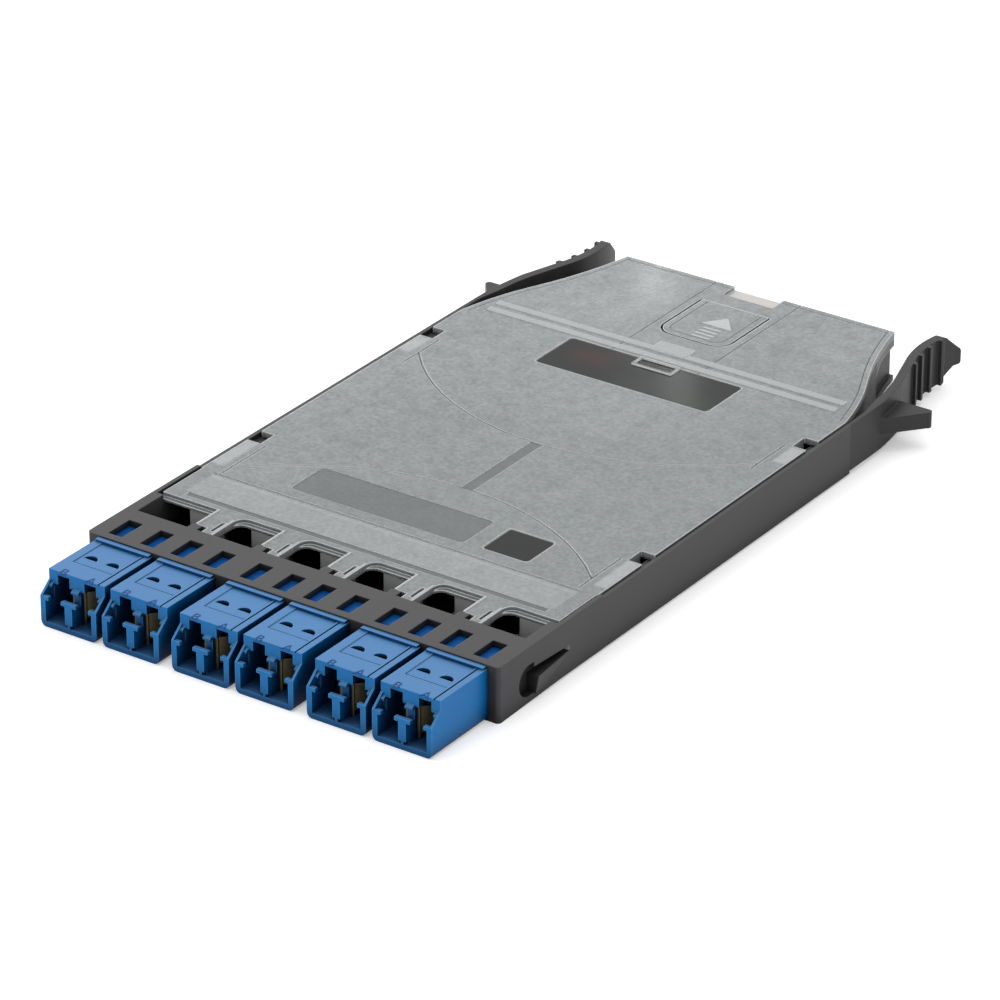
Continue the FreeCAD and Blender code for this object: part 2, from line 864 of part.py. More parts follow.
def base_tray():
    pieces = [deck(), front_frame()]
    centres = adapter_centres()
    for x, centre in zip(beam_centres(), centres):
        pieces += beam_and_post(x)
        pieces += comb_arch(centre, x - beam_left)
    pieces += comb_arch(centres[-1], half_width - end_wall)
    pieces += side_walls()
    pieces.append(neck_walls())
    pieces += cradles()
    tray = floor_plate().fuse(pieces)
    seat_side = rear_adapter_width / 2 + seat_clearance
    seat_low = rear_axis_height - rear_adapter_height / 2 - seat_clearance
    seat_high = rear_axis_height + rear_adapter_height / 2 + seat_clearance
    tray = tray.cut(box(
        -seat_side, seat_side, rear_plug_front - rear_adapter_setback, cover_length,
        seat_low, seat_high))
    edge = box(half_width - front_edge_radius, half_width, 0, front_edge_radius, 0, deck_top)
    edge = edge.cut(Part.makeCylinder(
        front_edge_radius, deck_top, Vector(half_width - front_edge_radius, front_edge_radius, 0)))
    return tray.cut(with_mirror(edge)).removeSplitter()


# Plate of the cover with its lower lip along the front
def cover_plate():
    front_half = cover_half - cover_front_inset
    steps = [
        (-front_half, cover_front), (front_half, cover_front),
        (front_half, deck_rail_length), (cover_half, deck_rail_length),
    ]
    neck = neck_steps()
    steps += neck + flip_steps(neck) + [(-cover_half, deck_rail_length), (-front_half, deck_rail_length)]
    lip = box(
        -half_width, half_width, cover_front, cover_front + lip_depth, cover_top - lip_sink, cover_top)
    return plan_prism(steps, cover_low, cover_top).cut(lip)


# Finger of the cover beside a beam: a short left part, a longer right part with a slot, two rims
def cover_finger(x):
    left = x - finger_left
    split = x + finger_split
    right = x + finger_right
    radius = finger_root_radius
    bow = radius * (1 - math.sqrt(0.5))

    def steps(edge):
        return [
            (left, edge + radius), (left, finger_left_front), (split, finger_left_front),
            (split, finger_front), (right, finger_front), (right, edge - radius),
            ((right + bow, edge - bow), (right + radius, edge)), (right + radius, edge + radius),
        ]

    upper_edge = cover_front + lip_depth
    low = plan_prism(steps(cover_front), cover_low, cover_top - lip_sink)
    high = plan_prism(steps(upper_edge), cover_low, cover_top)
    rim_top = cover_top + finger_rim_height
    rims = [
        box(left, left + finger_rim_width, finger_left_front, upper_edge, cover_top, rim_top),
        box(right - finger_rim_width, right, finger_front, upper_edge - radius, cover_top, rim_top),
    ]
    slot_right = right - finger_slot_side
    slot_start = finger_front + finger_slot_front
    slot = box(
        slot_right - finger_slot_width, slot_right, slot_start, slot_start + finger_slot_length,
        cover_low, cover_top)
    return high.fuse([low] + rims).cut(slot)


# Foot of the cover that slides under a ledge of the side wall
def cover_hook(notch):
    stem_side = cover_half - notch_inset
    start = notch + hook_side_gap
    end = notch + cover_slide - hook_side_gap
    low = cover_low - hook_drop
    stem = box(stem_side - hook_thickness, stem_side, start, end, low, cover_low)
    lip = box(stem_side, cavity_wall - cover_gap, start, end, low, low + hook_lip)
    return stem.fuse(lip)


# Groove in the top of the cover
def groove(x0, x1, y0, y1, depth=line_depth):
    return box(x0, x1, y0, y1, cover_top - depth, cover_top)


# Field with rounded corners sunk into the top of the cover
def sunk_field(left, right, front, rear):
    radius = window_corner
    steps = corner_points(left + radius, front + radius, radius, 180)
    steps += corner_points(right - radius, front + radius, radius, 270)
    steps += corner_points(right - radius, rear - radius, radius, 0)
    steps += corner_points(left + radius, rear - radius, radius, 90)
    return plan_prism(steps, cover_top - window_sink, cover_top)


# Large arc line in short flats about a point in line with the channel. Its crown points to the
# rear for a positive radius and to the front for a negative one.
def arc_line(crown, radius, front, rear):
    side = cover_half - strip_inset
    angles = [math.radians(arc_reach * k / arc_flats) for k in range(-arc_flats, arc_flats + 1)]

    def run(distance):
        return [
            (relief_middle + distance * math.sin(a), crown - radius + distance * math.cos(a))
            for a in angles
        ]

    loop = run(radius + line_width / 2) + run(radius - line_width / 2)[::-1]
    band = plan_prism(loop, cover_top - line_depth, cover_top)
    return band.common(box(-side, side, front, rear, 0, deck_top))


# Thin line that follows the sides and the rear edge of the neck
def border_cuts():
    outer = neck_steps(border_inset)
    inner = neck_steps(border_inset + border_width)
    low = cover_top - border_depth
    sides = plan_prism(outer + flip_steps(outer), low, cover_top)
    sides = sides.cut(plan_prism(inner + flip_steps(inner), low, cover_top))
    rear = cover_length - border_inset
    half = half_width - rear_inset - border_inset
    return [sides, box(-half, half, rear - border_width, rear, low, cover_top)]


def relief_cuts():
    side = cover_half - strip_inset
    cuts = [
        groove(-side, side, lip_line, lip_line + lip_line_width),
        groove(-side, side, step_line, step_line + line_width),
        arc_line(front_arc_top, front_arc_radius, front_arc_end, front_arc_top + line_width),
        arc_line(
            rear_arc_top, -rear_arc_radius, rear_arc_top - line_width,
            body_length - rear_arc_end_setback),
        groove(
            relief_middle - channel_width / 2, relief_middle + channel_width / 2, front_arc_top,
            rear_arc_top, channel_depth),
    ]
    for notch, length in ((front_notch, front_strip_length), (rear_notch, rear_strip_length)):
        cuts += with_mirror(groove(side - line_width, side, notch - length, notch))
    window_front = body_length - rear_window_setback
    cuts.append(sunk_field(
        -rear_window_left, rear_window_right, window_front, window_front + rear_window_length))
    cuts.append(sunk_field(
        small_window_left, small_window_left + small_window_width, small_window_front,
        small_window_front + small_window_length))
    cuts.append(sunk_field(
        -patch_left, patch_width - patch_left, patch_front, patch_front + patch_length))
    field_line = groove(
        field_half_width, field_half_width + field_line_width, body_length - field_start_setback,
        cover_length, border_depth)
    return cuts + with_mirror(field_line) + border_cuts()


def relief_ribs():
    rib_half = cover_half - strip_inset
    rib_front = body_length + cross_rib_start
    valley_front = rib_front + (cross_rib_length - cross_rib_groove) / 2
    rib = box(
        -rib_half, rib_half, rib_front, rib_front + cross_rib_length, cover_top,
        cover_top + cross_rib_height)
    rib = rib.cut(box(
        -rib_half, rib_half, valley_front, valley_front + cross_rib_groove, cover_top,
        cover_top + cross_rib_height))
    tile_front = body_length + tile_start
    tile = box(
        -tile_left, tile_width - tile_left, tile_front, tile_front + tile_length, cover_top,
        cover_top + tile_height)
    frame_front = body_length - frame_setback
    frame_right = frame_width - frame_left
    frame = box(
        -frame_left, frame_right, frame_front, frame_front + frame_length, cover_top - window_sink,
        cover_top + frame_height)
    frame = frame.cut(box(
        frame_line - frame_left, frame_right - frame_line, frame_front + frame_line,
        frame_front + frame_length - frame_line, cover_top - window_sink, cover_top + frame_height))
    return [rib, tile, frame]


def cover():
    pieces = [cover_finger(x) for x in beam_centres()]
    cuts = []
    for notch in (front_notch, rear_notch):
        pieces += with_mirror(cover_hook(notch))
        notch_box = box(
            cover_half - notch_inset, cover_half + cover_gap, notch, notch + cover_slide,
            cover_low, cover_top)
        cuts += with_mirror(notch_box)
    pieces.append(skirt())
    cuts.append(box(
        -port_notch_width / 2, port_notch_width / 2, cover_length - port_notch_depth, cover_length,
        cover_top - port_notch_sink, cover_top))
    cuts.append(tab_opening())
    plate = cover_plate().fuse(pieces).cut(cuts + relief_cuts())
    return plate.fuse(relief_ribs()).removeSplitter()


# Hanging edge of the cover outside the rear of the neck, deeper at its front
def skirt():
    outer = neck_steps()
    inner = neck_steps(skirt_thickness)
    low = cover_low - skirt_front_drop
    band = plan_prism(outer + flip_steps(outer), low, cover_low)
    band = band.cut(plan_prism(inner + flip_steps(inner), low, cover_low))
    rear_low = cover_low - skirt_rear_drop
    profile = side_prism(
        [
            (skirt_front, cover_low), (skirt_front, low),
            (
                (skirt_front + skirt_via_length, cover_low - skirt_via_drop),
                (skirt_front + skirt_curve_length, rear_low),
            ),
            (cover_length, rear_low), (cover_length, cover_low),
        ],
        -half_width, half_width,
    )
    return band.common(profile)


# Plan of the latch tab, or of the slot round it when it is widened
def tab_steps(extra):
    half = tab_half_width + extra
    front = tab_front - extra
    radius = tab_corner + extra
    bow = radius * (1 - math.sqrt(0.5))
    return [
        (half, tab_root), (-half, tab_root), (-half, front + radius),
        ((-half + bow, front + bow), (-half + radius, front)),
        (half - radius, front),
        ((half - bow, front + bow), (half, front + radius)),
    ]


def tab_opening():
    return plan_prism(tab_steps(tab_slot), cover_low, cover_top)


def latch_tab():
    plate = plan_prism(tab_steps(0), cover_top - tab_thickness, cover_top)
    catch = box(
        -tab_catch_width / 2, tab_catch_width / 2, tab_front + tab_catch_length,
        tab_front + 2 * tab_catch_length, cover_top - tab_thickness - tab_catch_drop,
        cover_top - tab_thickness)
    line_low = cover_top - border_depth
    line = plan_prism(tab_steps(-tab_border_inset), line_low, cover_top)
    line = line.cut(plan_prism(tab_steps(-tab_border_inset - border_width), line_low, cover_top))
    return plate.fuse(catch).cut(line).removeSplitter()


# Right release arm: a springy bowed bar with a barbed tooth and a ribbed pad
def release_arm():
    def at(inset, length):
        return (half_width - inset, body_length + length)
    thin = arm_root_thickness
    thick = arm_thickness
    plan = [
        at(0, 0), at(0, arm_straight), at(arm_bow_inset, arm_bow_length),
        (at(arm_bow_via_inset, arm_bow_via_length), at(arm_mid_inset, arm_mid_length)),
        at(arm_bend_inset, arm_bend),
        (at(arm_waist_via_inset, arm_waist_via), at(arm_waist_inset, arm_waist)),
        (at(arm_heel_via_inset, arm_heel_via), at(arm_heel_inset, arm_length)),
        at(arm_heel_inset + thick, arm_length),
        (
            at(arm_heel_via_inset + thick, arm_heel_via),
            at(arm_waist_inset + thick, arm_waist),
        ),
        (
            at(arm_waist_via_inset + thick, arm_waist_via),
            at(arm_bend_inset + thick, arm_bend),
        ),
        at(arm_mid_inset + thick, arm_mid_length),
        (
            at(arm_bow_via_inset + arm_bow_thickness, arm_bow_via_length),
            at(arm_bow_inset + arm_bow_thickness, arm_bow_length),
        ),
        at(thin, arm_straight), at(thin, 0),
    ]
    bar = plan_prism(plan, arm_lift, rim_top)
    outward = bar.copy()
    outward.translate(Vector(arm_rib_proud, 0, 0))
    ribs = []
    for k in range(arm_rib_count):
        y = body_length + arm_rib_first + k * arm_rib_pitch - arm_rib_length / 2
        rib = box(0, half_width, y, y + arm_rib_length, arm_lift, rim_top)
        ribs.append(rib.common(outward))
    tooth_side = half_width + tooth_reach
    tooth_rear = body_length + tooth_root_rear
    tip_front = body_length + tooth_tip - tooth_blunt
    tooth = plan_prism(
        [
            at(arm_bow_inset + thin, tooth_root_front), at(arm_bow_inset, tooth_root_front),
            (tooth_side - tooth_blunt / 2, tip_front),
            (
                (tooth_side, body_length + tooth_tip),
                (tooth_side - tooth_blunt, tooth_rear),
            ),
            at(arm_mid_inset + thin, tooth_root_rear),
        ],
        tooth_low, tooth_high,
    )
    arm = bar.fuse(ribs + [tooth])
    return arm.common(arm_side_profile(tooth_side)).removeSplitter()


# Side view of the arm: level for most of its length, slanting and rounded at the thumb end
def arm_side_profile(reach):
    def at(length, z):
        return (body_length + length, z)
    end = arm_length
    turn = arm_end_round
    bow = turn * (1 - math.sqrt(0.5))
    middle_length = (arm_top_start + arm_slant_start) / 2
    middle_height = (rim_top + arm_slant_high) / 2 + bow
    return side_prism(
        [
            at(0, arm_lift), at(arm_toe_start, arm_lift), at(arm_toe_end, arm_toe_height),
            at(end - turn, arm_toe_height),
            (at(end - bow, arm_toe_height + bow), at(end, arm_toe_height + turn)),
            at(end, arm_end_high),
            (
                at(end - bow, (arm_end_high + arm_slant_low) / 2 + bow),
                at(end - turn, arm_slant_low),
            ),
            at(arm_slant_start, arm_slant_high),
            (at(middle_length, middle_height), at(arm_top_start, rim_top)),
            at(0, rim_top),
        ],
        0, reach,
    )


def rear_adapter():
    low = rear_axis_height - rear_adapter_height / 2
    high = rear_axis_height + rear_adapter_height / 2
    shell = box(
        -rear_adapter_width / 2, rear_adapter_width / 2, rear_adapter_front, rear_adapter_rear, low, high)
    port_low = rear_axis_height - rear_port_height / 2
    port_high = rear_axis_height + rear_port_height / 2
    port = box(
        -rear_port_width / 2, rear_port_width / 2, rear_adapter_front, rear_adapter_rear,
        port_low, port_high)
    middle = (rear_adapter_front + rear_adapter_rear) / 2
    key = box(-key_width / 2, key_width / 2, middle, rear_adapter_rear, port_high, port_high + key_depth)
    return shell.cut([port, key]).removeSplitter()


def rear_plug():
    width = rear_port_width - 2 * rear_plug_clearance
    height = rear_port_height - 2 * rear_plug_clearance
    grip = box(
        -rear_plug_grip_width / 2, rear_plug_grip_width / 2, rear_plug_front,
        rear_adapter_front - rear_plug_clearance,
        rear_axis_height - rear_plug_grip_height / 2, rear_axis_height + rear_plug_grip_height / 2)
    insert = box(
        -width / 2, width / 2, rear_plug_front, rear_adapter_front + rear_plug_insert,
        rear_axis_height - height / 2, rear_axis_height + height / 2)
    boot = sided_bar(
        0, rear_axis_height, rear_boot_front, rear_plug_front, trunk_radius + rear_plug_clearance,
        rear_boot_radius, trunk_sides)
    return insert.fuse([grip, boot]).removeSplitter()


def trunk():
    return sided_bar(
        0, rear_axis_height, trunk_front, rear_boot_front, trunk_radius, trunk_radius, trunk_sides)


def fan_out_block():
    return box(
        -block_width / 2, block_width / 2, block_front, trunk_front,
        rear_axis_height - block_height / 2, rear_axis_height + block_height / 2)


# Points of a route of straight runs with an arc in short flats at each corner, as large as the
# runs allow
def routed_line(points):
    line = [points[0]]
    for before, corner, after in zip(points, points[1:], points[2:]):
        come = corner.sub(before)
        go = after.sub(corner)
        turn = come.getAngle(go)
        setback = 0.45 * min(come.Length, go.Length)
        arc_radius = setback / math.tan(turn / 2)
        come.normalize()
        go.normalize()
        start = corner.sub(Vector(come).multiply(setback))
        inward = go.sub(Vector(come).multiply(come.dot(go)))
        inward.normalize()
        for k in range(bend_flats + 1):
            angle = turn * k / bend_flats
            along = Vector(come).multiply(arc_radius * math.sin(angle))
            aside = Vector(inward).multiply(arc_radius * (1 - math.cos(angle)))
            line.append(start.add(along).add(aside))
        print("bend radius", round(arc_radius, 1))
    return line + [points[-1]]


# Many-sided tube round a route, with its sections halving the turn at each point
def routed_tube(points, radius, sides):
    line = routed_line(points)
    ring = ring_points(line[0].x, line[0].y, line[0].z, radius, sides)
    area = Part.Face(Part.makePolygon(ring + ring[:1])).Area
    loops = [ring]
    length = 0
    for k in range(1, len(line)):
        run = line[k].sub(line[k - 1])
        length += run.Length
        run.normalize()
        facing = Vector(run)
        if k + 1 < len(line):
            after = line[k + 1].sub(line[k])
            facing = facing.add(after.normalize())
        beyond = [
            q.add(Vector(run).multiply(facing.dot(line[k].sub(q)) / facing.dot(run))) for q in ring
        ]
        for j in range(sides):
            after = (j + 1) % sides
            loops.append([ring[j], beyond[j], beyond[after], ring[after]])
        ring = beyond
    loops.append(ring[::-1])
    tube = faceted(loops)
    print("tube volume ratio", round(tube.Volume / (area * length), 4))
    return tube


# One fibre leg from its boot to its place in the front of the fan-out block
def fibre_leg(index, x):
    middle = (2 * adapter_count - 1) / 2
    block_x = (index - middle) * fan_pitch
    row = 1 if index % 2 else -1
    block_z = rear_axis_height + row * fan_row_gap / 2
    span = block_front - fibre_start
    points = [
        Vector(x, fibre_start, fibre_axis_height),
        Vector(x, fibre_start + fan_first_run * span, fibre_axis_height),
        Vector(block_x, block_front - fan_last_run * span, block_z),
        Vector(block_x, block_front, block_z),
    ]
    return routed_tube(points, fibre_radius, fibre_sides)


def build_pieces():
    pieces = {"base_tray": base_tray(), "cover": cover(), "cover_latch_tab": latch_tab()}
    arm = release_arm()
    pieces["release_arm_right"] = arm
    pieces["release_arm_left"] = mirrored(arm)
    pieces["rear_adapter"] = rear_adapter()
    pieces["rear_plug"] = rear_plug()
    pieces["trunk_cable"] = trunk()
    pieces["fan_out_block"] = fan_out_block()
    port = 0
    for k, x in enumerate(adapter_centres(), start=1):
        pieces[f"adapter_{k}"] = duplex_adapter(x)
        pieces[f"duplex_plug_{k}"] = duplex_plug(x)
        for side in (-1, 1):
            port += 1
            port_x = x + side * port_offset
            pieces[f"shutter_{port}"] = shutter(x, side)
            pieces[f"sleeve_{port}"] = split_sleeve(port_x)
            pieces[f"fibre_leg_{port}"] = fibre_leg(port - 1, port_x)
    return pieces


os.makedirs("parts", exist_ok=True)
for name, shape in build_pieces().items():
    shape.translate(origin_shift)
    shape.exportStep(f"parts/{name}.step")
    bounds = shape.BoundBox
    print(name, shape.isValid(), len(shape.Solids), round(shape.Volume, 2), "y", round(bounds.YMin, 2),
          round(bounds.YMax, 2), "z", round(bounds.ZMin, 2), round(bounds.ZMax, 2))
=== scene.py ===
import math

import bmesh
import bpy
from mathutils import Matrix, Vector


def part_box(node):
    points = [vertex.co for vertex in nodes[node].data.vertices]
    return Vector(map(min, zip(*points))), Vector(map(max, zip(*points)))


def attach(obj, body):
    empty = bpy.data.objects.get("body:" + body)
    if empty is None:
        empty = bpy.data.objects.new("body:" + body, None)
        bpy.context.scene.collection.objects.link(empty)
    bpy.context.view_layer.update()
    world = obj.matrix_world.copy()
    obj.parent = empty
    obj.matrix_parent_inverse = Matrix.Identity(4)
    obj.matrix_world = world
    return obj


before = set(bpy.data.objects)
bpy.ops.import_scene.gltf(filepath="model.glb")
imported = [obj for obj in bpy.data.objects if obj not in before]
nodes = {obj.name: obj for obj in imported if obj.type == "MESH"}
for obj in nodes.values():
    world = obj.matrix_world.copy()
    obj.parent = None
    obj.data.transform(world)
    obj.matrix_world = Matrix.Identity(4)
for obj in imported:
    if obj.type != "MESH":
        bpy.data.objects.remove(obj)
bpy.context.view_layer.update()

mm = 0.001
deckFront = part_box("base_tray")[0][1]      # places are counted back from the deck's front
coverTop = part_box("cover")[1][2]
coverPlate = coverTop - 0.25 * mm          # flat plate of the cover, under its raised ribs

# Where the photograph was taken from
viewSettings = {
    "azimuth": 34.667,          # degrees, 0 looks at the ports squarely
    "elevation": 27.09,
    "distance": 1.02296,        # metres
    "lens": 198.0,              # millimetres
    "clipStart": 0.01,
    "target": (0.0068, deckFront + 0.056775, 0.0091),
}

# Studio light
lightSettings = {
    "worldFill": 0.9,
    "overhead": {"place": (-0.2, 0.1, 0.95), "size": 0.9, "power": 4.0},
    "sideBox": {"place": (-0.95, 0.35, 0.6), "size": 0.7, "power": 2.2},
    # x, distance behind the deck's front, power
    "glints": [(-0.0215, 0.1525, 0.008), (0.0085, 0.1150, 0.0009)],
    "glintDistance": 0.6, "glintSize": 0.009,
    "floorColour": (0.86, 0.86, 0.87), "floorRoughness": 0.9,
    "floorReach": 6.0,          # half the floor's width
    "floorLift": 0.3,
}


def makeCamera(s):
    azimuth = math.radians(s["azimuth"])
    elevation = math.radians(s["elevation"])
    level = math.cos(elevation)
    forward = Vector((-math.sin(azimuth) * level, math.cos(azimuth) * level, -math.sin(elevation)))
    data = bpy.data.cameras.new("photoCamera")
    data.lens = s["lens"]
    data.clip_start = s["clipStart"]
    camera = bpy.data.objects.new("photoCamera", data)
    camera.location = Vector(s["target"]) - forward * s["distance"]
    camera.rotation_euler = (math.radians(90) - elevation, 0, azimuth)
    bpy.context.collection.objects.link(camera)
    bpy.context.scene.camera = camera


def makeAreaLight(name, place, size, power, aim=(0, 0, 0)):
    data = bpy.data.lights.new(name, "AREA")
    data.shape = "SQUARE"
    data.size = size
    data.energy = power
    light = bpy.data.objects.new(name, data)
    light.location = place
    light.rotation_euler = (Vector(aim) - Vector(place)).to_track_quat("-Z", "Y").to_euler()
    bpy.context.collection.objects.link(light)


# Node tools: each makes a node and wires what it is given, a plain value or another socket
def wire(tree, value, socket):
    if isinstance(value, bpy.types.NodeSocket):
        tree.links.new(value, socket)
    else:
        socket.default_value = value


def mathNode(tree, operation, a, b=0.0, clamp=False):
    node = tree.nodes.new("ShaderNodeMath")
    node.operation = operation
    node.use_clamp = clamp
    wire(tree, a, node.inputs[0])
    wire(tree, b, node.inputs[1])
    return node.outputs[0]


def times(tree, a, b):
    return mathNode(tree, "MULTIPLY", a, b)


def remap(tree, value, low, high, outLow=0.0, outHigh=1.0, smooth=False):
    node = tree.nodes.new("ShaderNodeMapRange")
    node.interpolation_type = "SMOOTHSTEP" if smooth else "LINEAR"
    for socket, given in zip(node.inputs[:5], (value, low, high, outLow, outHigh)):
        wire(tree, given, socket)
    return node.outputs[0]


def mixColour(tree, factor, a, b, blend="MIX"):
    node = tree.nodes.new("ShaderNodeMix")
    node.data_type = "RGBA"
    node.blend_type = blend
    wire(tree, factor, node.inputs[0])
    for value, socket in ((a, node.inputs[6]), (b, node.inputs[7])):
        wire(tree, value if isinstance(value, bpy.types.NodeSocket) else (*value[:3], 1.0), socket)
    return node.outputs[2]


def noiseNode(tree, place, scale, detail=2.0, roughness=0.5):
    node = tree.nodes.new("ShaderNodeTexNoise")
    wire(tree, place, node.inputs["Vector"])
    node.inputs["Scale"].default_value = scale
    node.inputs["Detail"].default_value = detail
    node.inputs["Roughness"].default_value = roughness
    return node.outputs["Fac"]


def axes(tree, vector):
    split = tree.nodes.new("ShaderNodeSeparateXYZ")
    wire(tree, vector, split.inputs[0])
    return split.outputs


def newGroup(name, inputs, outputs):
    tree = bpy.data.node_groups.new(name, "ShaderNodeTree")
    for label, kind, value in inputs:
        socket = tree.interface.new_socket(name=label, in_out="INPUT", socket_type=kind)
        socket.default_value = value
    for label, kind in outputs:
        tree.interface.new_socket(name=label, in_out="OUTPUT", socket_type=kind)
    return tree, tree.nodes.new("NodeGroupInput"), tree.nodes.new("NodeGroupOutput")


def useGroup(tree, group, **values):
    node = tree.nodes.new("ShaderNodeGroup")
    node.node_tree = group
    for label, value in values.items():
        wire(tree, value, node.inputs[label])
    return node.outputs


# Values that every finish shares; each pair is where an effect starts and where it is full
groupSettings = {
    "slowScale": 45.0, "speckScale": 1400.0, "grainScale": 5200.0,
    "edgeTurn": (0.94, 0.78), "edgeSamples": 8,     # cosine between the face and the rounded edge
    "deepOpen": (0.88, 0.35), "deepSamples": 6,     # share of the surroundings that is open
}


# Fine moulded surface: slow shade changes, small specks and a shallow grain
def makeMouldGroup(s):
    tree, inside, outside = newGroup(
        "mouldedSurface",
        [
            ("Place", "NodeSocketVector", (0, 0, 0)),
            ("Colour", "NodeSocketColor", (0.5, 0.5, 0.5, 1)),
            ("Shade", "NodeSocketFloat", 0.1), ("Specks", "NodeSocketFloat", 0.1),
            ("Gloss", "NodeSocketFloat", 0.4), ("GlossSpread", "NodeSocketFloat", 0.08),
        ],
        [
            ("Colour", "NodeSocketColor"), ("Roughness", "NodeSocketFloat"),
            ("Height", "NodeSocketFloat"),
        ],
    )
    place = inside.outputs["Place"]
    slow = noiseNode(tree, place, s["slowScale"], detail=3.0)
    fine = noiseNode(tree, place, s["speckScale"], detail=2.0)
    grain = noiseNode(tree, place, s["grainScale"], detail=1.0)
    evenFine = mathNode(tree, "SUBTRACT", fine, 0.5)       # noise about zero
    shade = times(tree, mathNode(tree, "SUBTRACT", slow, 0.5), inside.outputs["Shade"])
    speck = times(tree, evenFine, inside.outputs["Specks"])
    level = mathNode(tree, "ADD", mathNode(tree, "ADD", shade, speck), 1.0)
    scaled = tree.nodes.new("ShaderNodeVectorMath")
    scaled.operation = "SCALE"
    wire(tree, inside.outputs["Colour"], scaled.inputs[0])
    wire(tree, level, scaled.inputs["Scale"])
    wire(tree, scaled.outputs[0], outside.inputs["Colour"])
    spread = times(tree, evenFine, inside.outputs["GlossSpread"])
    wire(tree, mathNode(tree, "ADD", inside.outputs["Gloss"], spread), outside.inputs["Roughness"])
    height = times(tree, mathNode(tree, "ADD", fine, grain), 0.5)
    wire(tree, height, outside.inputs["Height"])
    return tree


# Rounded rectangle in X and Y: a mask, and the distance outside its edge
def makePatchGroup():
    tree, inside, outside = newGroup(
        "roundedPatch",
        [
            ("Place", "NodeSocketVector", (0, 0, 0)), ("CentreX", "NodeSocketFloat", 0.0),
            ("CentreY", "NodeSocketFloat", 0.0), ("HalfX", "NodeSocketFloat", 0.01),
            ("HalfY", "NodeSocketFloat", 0.01), ("Corner", "NodeSocketFloat", 0.001),
            ("Soft", "NodeSocketFloat", 0.0001),
        ],
        [("Mask", "NodeSocketFloat"), ("Distance", "NodeSocketFloat")],
    )
    given = inside.outputs
    x, y, z = axes(tree, given["Place"])
    over = []
    for along, centre, half in ((x, "CentreX", "HalfX"), (y, "CentreY", "HalfY")):
        away = mathNode(tree, "ABSOLUTE", mathNode(tree, "SUBTRACT", along, given[centre]))
        core = mathNode(tree, "SUBTRACT", given[half], given["Corner"])
        over.append(mathNode(tree, "SUBTRACT", away, core))
    outX = mathNode(tree, "MAXIMUM", over[0], 0.0)
    outY = mathNode(tree, "MAXIMUM", over[1], 0.0)
    square = mathNode(tree, "ADD", times(tree, outX, outX), times(tree, outY, outY))
    beyond = mathNode(tree, "SQRT", square)
    within = mathNode(tree, "MINIMUM", mathNode(tree, "MAXIMUM", over[0], over[1]), 0.0)
    distance = mathNode(tree, "SUBTRACT", mathNode(tree, "ADD", beyond, within), given["Corner"])
    low = times(tree, given["Soft"], -1.0)
    mask = remap(tree, distance, low, given["Soft"], 1.0, 0.0, smooth=True)
    wire(tree, mask, outside.inputs["Mask"])
    wire(tree, distance, outside.inputs["Distance"])
    return tree


# Rounds the light on sharp edges, and gives a mask of them for a painted highlight
def makeEdgeGroup(s):
    tree, inside, outside = newGroup(
        "softEdge", [("Radius", "NodeSocketFloat", 0.0002)],
        [("Mask", "NodeSocketFloat"), ("Normal", "NodeSocketVector")],
    )
    bevel = tree.nodes.new("ShaderNodeBevel")
    bevel.samples = s["edgeSamples"]
    wire(tree, inside.outputs["Radius"], bevel.inputs["Radius"])
    face = tree.nodes.new("ShaderNodeNewGeometry").outputs["True Normal"]
    turn = tree.nodes.new("ShaderNodeVectorMath")
    turn.operation = "DOT_PRODUCT"
    wire(tree, bevel.outputs[0], turn.inputs[0])
    wire(tree, face, turn.inputs[1])
    mask = remap(tree, turn.outputs["Value"], *s["edgeTurn"], smooth=True)
    wire(tree, mask, outside.inputs["Mask"])
    wire(tree, bevel.outputs[0], outside.inputs["Normal"])
    return tree


# How deep in a port, slot or groove a point lies, for painted shade: 0 in the open, 1 deep inside
def makeDeepGroup(s):
    tree, inside, outside = newGroup(
        "deepShade", [("Reach", "NodeSocketFloat", 0.004)], [("Mask", "NodeSocketFloat")])
    around = tree.nodes.new("ShaderNodeAmbientOcclusion")
    around.samples = s["deepSamples"]
    wire(tree, inside.outputs["Reach"], around.inputs["Distance"])
    wire(tree, remap(tree, around.outputs["AO"], *s["deepOpen"]), outside.inputs["Mask"])
    return tree


mouldGroup = makeMouldGroup(groupSettings)
patchGroup = makePatchGroup()
edgeGroup = makeEdgeGroup(groupSettings)
deepGroup = makeDeepGroup(groupSettings)
print("node groups made")


def newMaterial(name):
    material = bpy.data.materials.new(name)
    material.use_nodes = True
    tree = material.node_tree
    shader = tree.nodes["Principled BSDF"]
    place = tree.nodes.new("ShaderNodeTexCoord").outputs["Object"]
    return material, tree, shader, place


# Shallow grain over the rounded edges
def finishNormal(tree, shader, height, normal, grain):
    bump = tree.nodes.new("ShaderNodeBump")
    bump.inputs["Strength"].default_value = 1.0
    bump.inputs["Distance"].default_value = grain
    wire(tree, height, bump.inputs["Height"])
    wire(tree, normal, bump.inputs["Normal"])
    wire(tree, bump.outputs[0], shader.inputs["Normal"])


# Cosines between which a face starts to count as turned that way, and counts in full
facingLimits = {"litTop": (0.5, 1.0), "frontWall": (0.5, 0.9), "flatTop": (0.8, 0.95)}


# How far a face looks up, and how far it looks to the front
def facing(tree):
    x, y, z = axes(tree, tree.nodes.new("ShaderNodeNewGeometry").outputs["True Normal"])
    return z, times(tree, y, -1.0)


# Patch given as: centre x, distance behind the deck's front, half width, half length, corner
def patchAt(tree, place, patch, **more):
    centreX, behind, halfX, halfY, corner = patch
    return useGroup(
        tree, patchGroup, Place=place, CentreX=centreX, CentreY=deckFront + behind, HalfX=halfX,
        HalfY=halfY, Corner=corner, **more)
